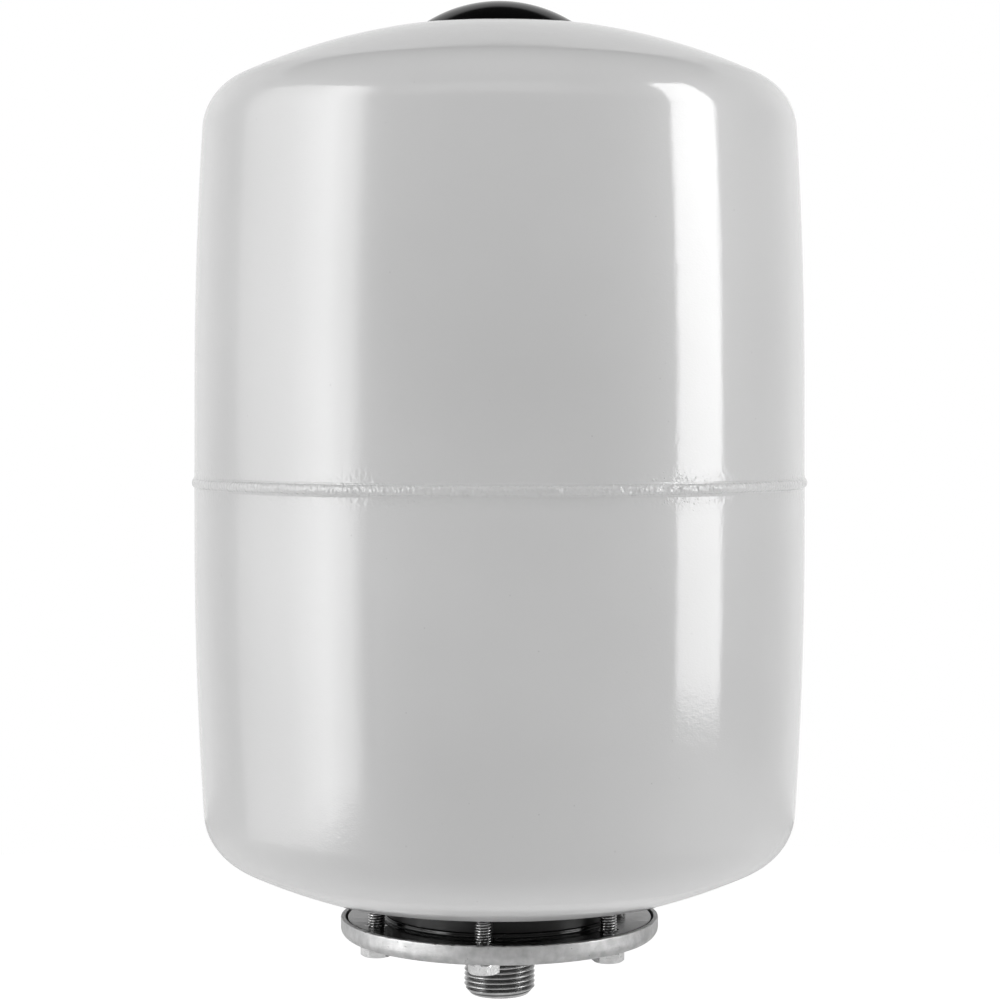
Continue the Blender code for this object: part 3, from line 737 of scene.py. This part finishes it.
def valve(look):
    """The brass valve: hexagon with chamfered corners, and a stem with the tyre-valve thread."""
    bottom, top = VALVE_LOW.z, VALVE_HIGH.z
    flange_bottom, flange_top = UPPER_LAND_Z + 0.0017, UPPER_LAND_Z + 0.0037
    shank, stem, bore, pitch = 0.0059, 0.00385, 0.0027, 0.000794
    seat_z = UPPER_LAND_Z - 0.0027
    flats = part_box("valve_body")[1].y * 2
    outline = between((shank, bottom), (shank, flange_bottom), 3)
    first_hex = len(outline)
    outline += between((flats / 2, flange_bottom), (flats / 2, flange_top), 16)
    last_hex = len(outline)
    outline += [(stem + 0.0008, flange_top), (stem - 0.0002, flange_top + 0.0003)]
    first_thread = len(outline)
    outline += between((stem, flange_top + 0.0005), (stem, top - 0.0001), 70)
    last_thread = len(outline)
    outline += [(bore + 0.0004, top), (bore, top - 0.0004), (bore, seat_z)]
    outline += [(bore - 0.0009, seat_z), (bore - 0.0009, bottom)]

    def shape(radius, height, turn, row):
        chamfer = flats * 0.49 + np.minimum(height - flange_bottom, flange_top - height) * 1.75
        in_hex = (row >= first_hex) & (row < last_hex)
        radius = np.where(in_hex, np.minimum(hexagon(turn, flats), chamfer), radius)
        cut = stem - 0.00042 * (1 - thread_wave(height, turn, pitch))
        in_thread = (row >= first_thread) & (row < last_thread)
        return np.where(in_thread, np.minimum(cut, stem - 0.0005 + (top - height)), radius), height

    return dress(spun("valve_stem", outline, 144, shape, sharp=28), look, "vessel", "brass", "valve_body")


def valve_spring(look):
    """The core's spring: five turns of round wire, which the pin squeezes as it is pressed."""
    low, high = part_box("core_spring")
    wire, turns, steps, sides = 0.00019, 5, 160, 12
    coil = high.x - 0.0002
    length = high.z - low.z
    climb = (length - 2 * wire) / (FULL_TURN * turns)
    bm = bmesh.new()
    rings = []
    for i in range(steps + 1):
        turn = FULL_TURN * turns * i / steps
        outward = Vector((math.cos(turn), math.sin(turn), 0))
        along = Vector((-coil * math.sin(turn), coil * math.cos(turn), climb)).normalized()
        upward = outward.cross(along)
        centre = coil * outward + Vector((0, 0, low.z + wire + climb * turn))
        ring = []
        for k in range(sides):
            around = FULL_TURN * k / sides
            offset = math.cos(around) * outward + math.sin(around) * upward
            ring.append(bm.verts.new(centre + wire * offset))
        rings.append(ring)
    for first, second in zip(rings, rings[1:]):
        for k in range(sides):
            bm.faces.new([first[k], first[k - 1], second[k - 1], second[k]])
    bm.faces.new(rings[0])
    bm.faces.new(rings[-1][::-1])
    bmesh.ops.recalc_face_normals(bm, faces=bm.faces)
    spring = dress(object_from("valve_spring", bm), look, "vessel", "spring_steel", "core_spring")
    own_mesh(spring)
    return spring


def knurled_cap(look):
    """The dust cap with grip ribs round its side."""
    low, high, roof = CAP_LOW.z, CAP_HIGH.z, CAP_HIGH.z - 0.0011
    outer, inner = CAP_HIGH.x, 0.00415
    outline = [(inner, low), (outer - 0.0005, low), (outer, low + 0.0006)]
    outline += between((outer, low + 0.0009), (outer, high - 0.0013), 8)
    outline += arc(outer - 0.0008, high - 0.0008, 0.0008, 0, math.pi / 2, 6)
    outline += [(0.0020, high - 0.0001), (0, high - 0.0001), (0, roof), (inner, roof)]

    def shape(radius, height, turn, row):
        side = (radius > outer - 0.0004) & (height > low + 0.0004)
        ribs = 0.5 - 0.5 * np.cos(30 * turn)
        return radius - side * 0.00028 * ribs, height

    return dress(spun("knurled_cap", outline, 240, shape), look, "dust_cap", "black_plastic", "dust_cap")


def cover_dome(look):
    """The protective cover: a spherical dome with a short skirt, a sleeve inside, and a small gate mark."""
    sphere, wall, edge_radius = 0.0650, 0.0018, COVER_HIGH.x
    centre = COVER_HIGH.z - sphere
    inner_sphere, inner_edge = sphere - wall, edge_radius - wall
    sleeve_inner, sleeve_outer = 0.0094, 0.0110
    low = COVER_LOW.z
    half = math.pi / 2
    shoulder = math.acos((edge_radius - 0.0004) / sphere)
    outline = arc(0, centre, sphere, half, shoulder, 70)
    outline += [(edge_radius, centre + sphere * math.sin(shoulder) - 0.0004), (edge_radius, low + 0.0004)]
    outline += [(edge_radius - 0.0003, low), (inner_edge + 0.0003, low), (inner_edge, low + 0.0003)]
    inner_low = math.acos(inner_edge / inner_sphere)
    inner_high = math.acos(sleeve_outer / inner_sphere)
    outline += arc(0, centre, inner_sphere, inner_low, inner_high, 24)
    outline += [(sleeve_outer, low), (sleeve_inner, low)]
    outline += arc(0, centre, inner_sphere, math.acos(sleeve_inner / inner_sphere), half, 8)
    outline[0] = (0, COVER_HIGH.z)
    outline[-1] = (0, COVER_HIGH.z - wall)

    def shape(radius, height, turn, row):
        gate = np.where((row < 3) & (radius < 0.0022), 0.00006, 0.0)
        warp = 0.00010 * wander(turn, 61, 3, 2, 4) * (row < 71) * np.clip(radius / 0.03, 0, 1)
        return radius, height - gate - np.abs(warp)

    return dress(spun("cover_dome", outline, 192, shape), look, "cover", "black_plastic", "cover")


def dress_cad_nodes(looks):
    """The small inner pieces keep their CAD shape and get a finished material."""
    finishes = {
        "neck_weld": "coat", "nipple_weld": "zinc", "socket_weld": "bright",
        "valve_oring": "rubber", "poppet_seal": "rubber", "dust_cap_seal": "rubber",
        "core_barrel": "brass", "valve_pin": "brass",
    }
    for name, look in finishes.items():
        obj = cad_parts[name]
        obj.data.materials.clear()
        obj.data.materials.append(looks[look])


# ---------------------------------------------------------------- studio

def floor():
    """A plain pale floor well below the hanging vessel. Its underside is clear, for views from below."""
    made, tree, shader = material("pale_floor", Roughness=0.9)
    shader.inputs["Base Color"].default_value = (0.60, 0.60, 0.60, 1)
    shader.inputs["Emission Color"].default_value = (1, 1, 1, 1)
    seen = node(tree, "ShaderNodeLightPath").outputs["Is Camera Ray"]
    tree.links.new(spread(tree, seen, 0, 1, FLOOR_GLOW, FLOOR_SEEN), shader.inputs["Emission Strength"])
    underside = node(tree, "ShaderNodeNewGeometry").outputs["Backfacing"]
    tree.links.new(spread(tree, underside, 0, 1, 1, 0), shader.inputs["Alpha"])
    bm = bmesh.new()
    bmesh.ops.create_circle(bm, cap_ends=True, segments=96, radius=2.2)
    obj = object_from("floor", bm)
    obj.location.z = -0.30
    obj.data.materials.append(made)


def height_at(degrees):
    """The height of a unit direction that rises by that many degrees."""
    return math.sin(math.radians(degrees))


def surroundings():
    """A white backdrop to look at. What lights the vessel is greyer: walls all round, paler behind the vessel
    and on the ground in front of it, and a dark ceiling."""
    world = bpy.data.worlds.new("studio")
    bpy.context.scene.world = world
    world.use_nodes = True
    tree = world.node_tree
    background = tree.nodes["Background"]
    direction = node(tree, "ShaderNodeTexCoord").outputs["Generated"]
    rise = node(tree, "ShaderNodeSeparateXYZ", {"Vector": direction}).outputs["Z"]
    flat = level_part(tree, direction)
    compass = node(tree, "ShaderNodeVectorMath", {0: flat}, operation="NORMALIZE").outputs["Vector"]
    ahead = node(tree, "ShaderNodeSeparateXYZ", {"Vector": compass}).outputs["Y"]
    behind = spread(tree, ahead, 0.38, 0.80, 0, 1)
    up_the_backdrop = spread(tree, rise, height_at(13), height_at(41), 0, 1)
    backdrop = blend_colour(tree, up_the_backdrop, grey(BACKDROP_LIGHT), grey(BACKDROP_TOP_LIGHT))
    walls = blend_colour(tree, behind, grey(WALL_LIGHT), backdrop)
    near_side = spread(tree, ahead, -0.3, -0.7, 0, 1)
    below_eye = spread(tree, rise, height_at(-1.0), height_at(-3.2), 0, 1)
    ground = maths(tree, "MULTIPLY", near_side, below_eye)
    walls = blend_colour(tree, ground, walls, grey(GROUND_LIGHT))
    ceiling = spread(tree, rise, height_at(40), height_at(43), 0, 1)
    room = blend_colour(tree, ceiling, walls, grey(CEILING_LIGHT))
    seen = node(tree, "ShaderNodeLightPath").outputs["Is Camera Ray"]
    tree.links.new(blend_colour(tree, seen, room, (1, 1, 1)), background.inputs["Color"])


def stand(obj, azimuth, distance, height, tilt=0.0):
    """Stands a panel round the vessel, facing it. Azimuth is in degrees to the right of the camera."""
    turn = camera_side(azimuth)
    obj.location = (distance * math.cos(turn), distance * math.sin(turn), height)
    obj.rotation_euler = (math.pi / 2 + math.radians(tilt), 0, turn + math.pi / 2)


def soft_light(name, azimuth, distance, height, width, tall, power, tilt=0.0):
    """An even light that shades the paint but isn't mirrored in it."""
    data = bpy.data.lights.new(name, "AREA")
    data.shape = "RECTANGLE"
    data.size = width
    data.size_y = tall
    data.energy = power
    obj = bpy.data.objects.new(name, data)
    bpy.context.scene.collection.objects.link(obj)
    stand(obj, azimuth, distance, height, tilt)
    obj.visible_glossy = False
    obj.visible_camera = False


def graded(tree, value, size, glows):
    """Glow along a panel, from (share of its size, glow) pairs."""
    share = spread(tree, value, -size / 2, size / 2, 0, 1)
    most = max(glow for _, glow in glows)
    ramp = node(tree, "ShaderNodeValToRGB", {"Fac": share})
    stops = ramp.color_ramp.elements
    while len(stops) < len(glows):
        stops.new(0.5)
    for stop, (position, glow) in zip(stops, glows):
        stop.position = position
        stop.color = (*grey(glow / most), 1)
    return maths(tree, "MULTIPLY", ramp.outputs["Color"], most)


def mirrored_panel(name, azimuth, distance, height, width, tall, across, upward):
    """A glowing panel that is seen only in reflections, graded from its left and from its bottom."""
    made = bpy.data.materials.new(name)
    made.use_nodes = True
    tree = made.node_tree
    tree.nodes.clear()
    place = node(tree, "ShaderNodeTexCoord").outputs["Object"]
    parts = node(tree, "ShaderNodeSeparateXYZ", {"Vector": place})
    sideways = graded(tree, parts.outputs["X"], width, across)
    upwards = graded(tree, parts.outputs["Y"], tall, upward)
    glow = maths(tree, "MULTIPLY", sideways, upwards)
    light = node(tree, "ShaderNodeEmission", {"Strength": glow})
    output = node(tree, "ShaderNodeOutputMaterial")
    tree.links.new(light.outputs["Emission"], output.inputs["Surface"])
    bm = bmesh.new()
    corners = [(-width / 2, -tall / 2), (width / 2, -tall / 2), (width / 2, tall / 2), (-width / 2, tall / 2)]
    bm.faces.new([bm.verts.new((x, y, 0)) for x, y in corners])
    obj = object_from(name, bm)
    obj.data.materials.append(made)
    stand(obj, azimuth, distance, height)
    obj.visible_camera = False
    obj.visible_diffuse = False
    obj.visible_shadow = False


def camera():
    data = bpy.data.cameras.new("camera")
    data.lens = 93.28
    data.sensor_width = 36
    data.shift_x = 0.0005
    data.shift_y = -0.0933
    obj = bpy.data.objects.new("camera", data)
    bpy.context.scene.collection.objects.link(obj)
    obj.location = (0, -1.2178, 0.2753)
    obj.rotation_euler = (math.pi / 2, 0, 0)
    bpy.context.scene.camera = obj


def studio():
    bpy.context.scene.view_settings.view_transform = "Standard"
    floor()
    surroundings()
    mirrored_panel(
        "left_softbox", -80, 1.5, 0.25, 2.1, 2.4,
        [(0.0, 0.5), (0.09, 0.5), (0.11, 0.95), (0.50, 2.9),
         (0.72, 6.0), (0.86, 4.2), (0.94, 1.0), (1.0, 0.2)],
        [(0.0, 1.0), (1.0, 1.0)],
    )
    mirrored_panel(
        "right_strip", 75, 1.5, 0.73, 0.545, 1.66,
        [(0.0, 1.0), (1.0, 1.0)],
        [(0.0, 5.4), (0.14, 5.9), (0.21, 6.7), (0.30, 7.4), (0.45, 8.2), (1.0, 7.6)],
    )
    mirrored_panel(
        "front_softbox", 0, 1.9, 1.12, 3.2, 1.74,
        [(0.0, 0.5), (0.25, 1.0), (0.75, 1.0), (1.0, 0.5)],
        [(0.0, 0.20), (0.42, 0.20), (0.58, 1.0), (1.0, 0.8)],
    )
    soft_light("left_fill", -85, 1.6, 0.4, 1.6, 2.2, 12.5)
    soft_light("right_fill", 90, 1.6, 0.4, 1.6, 2.2, 14)
    soft_light("top_fill", 0, 0.75, 2.2, 1.6, 1.2, 21, tilt=-70)
    camera()


def build():
    enamel = paint_material()
    coat = black_coat_material("black_dip_coat", 0.06, 0.16)
    dull_coat = black_coat_material("dull_dip_coat", 0.40, 0.55)
    zinc = zinc_material("satin_zinc", 0.42, 0.56, 0.42, 0.58, 0.00016, 0.00009)
    # The nipple's and the bolts' zinc get painted shade in their thread roots.
    pipe_thread = (PIPE_PITCH, 0.0135, 0.0170, NIPPLE_LOW.z)
    bolt_thread = (BOLT_PITCH, 0.0029, 0.0041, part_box("flange_bolt_1")[0].z + BOLT_HEAD_HEIGHT)
    root_shaded_zinc = zinc_material("thread_zinc", 0.42, 0.60, 0.18, 0.32, 0.00003, 0.00001, pipe_thread)
    bright = zinc_material("bright_zinc", 0.56, 0.72, 0.18, 0.30, 0.00002, 0.000008)
    bolt_zinc = zinc_material("bolt_zinc", 0.60, 0.76, 0.18, 0.30, 0.00002, 0.000008, bolt_thread)
    plastic = plastic_material()
    rubber = rubber_material()
    brass = metal_material("turned_brass", (0.62, 0.42, 0.17), (0.78, 0.56, 0.27), 0.16, 0.32)
    steel = metal_material("spring_steel", grey(0.42), grey(0.60), 0.18, 0.32)

    upper_land = UPPER_LAND_Z - SEAM_Z
    lower_land = SEAM_Z - LOWER_LAND_Z
    half_shell(
        "upper_shell_skin", "upper_shell", 1,
        UPPER_STRAIGHT, UPPER_TANGENT, upper_land, VALVE_HOLE, 1, enamel,
    )
    half_shell(
        "lower_shell_skin", "lower_shell", -1,
        LOWER_STRAIGHT, LOWER_TANGENT, lower_land, FLANGE_HOLE, 2, enamel,
    )
    seam_bead(enamel)
    weld_spatter(enamel)
    neck_sleeve(dull_coat)
    ring_plate(coat)
    dish(zinc)
    pipe_nipple(root_shaded_zinc)
    for number, x, y, turn in bolt_places():
        bolt(number, x, y, turn, bolt_zinc)
    bladder_bag(rubber)
    valve_boss(bright)
    valve(brass)
    valve_spring(steel)
    knurled_cap(plastic)
    cover_dome(plastic)
    dress_cad_nodes({"coat": coat, "zinc": zinc, "bright": bright, "rubber": rubber, "brass": brass})
    studio()


build()
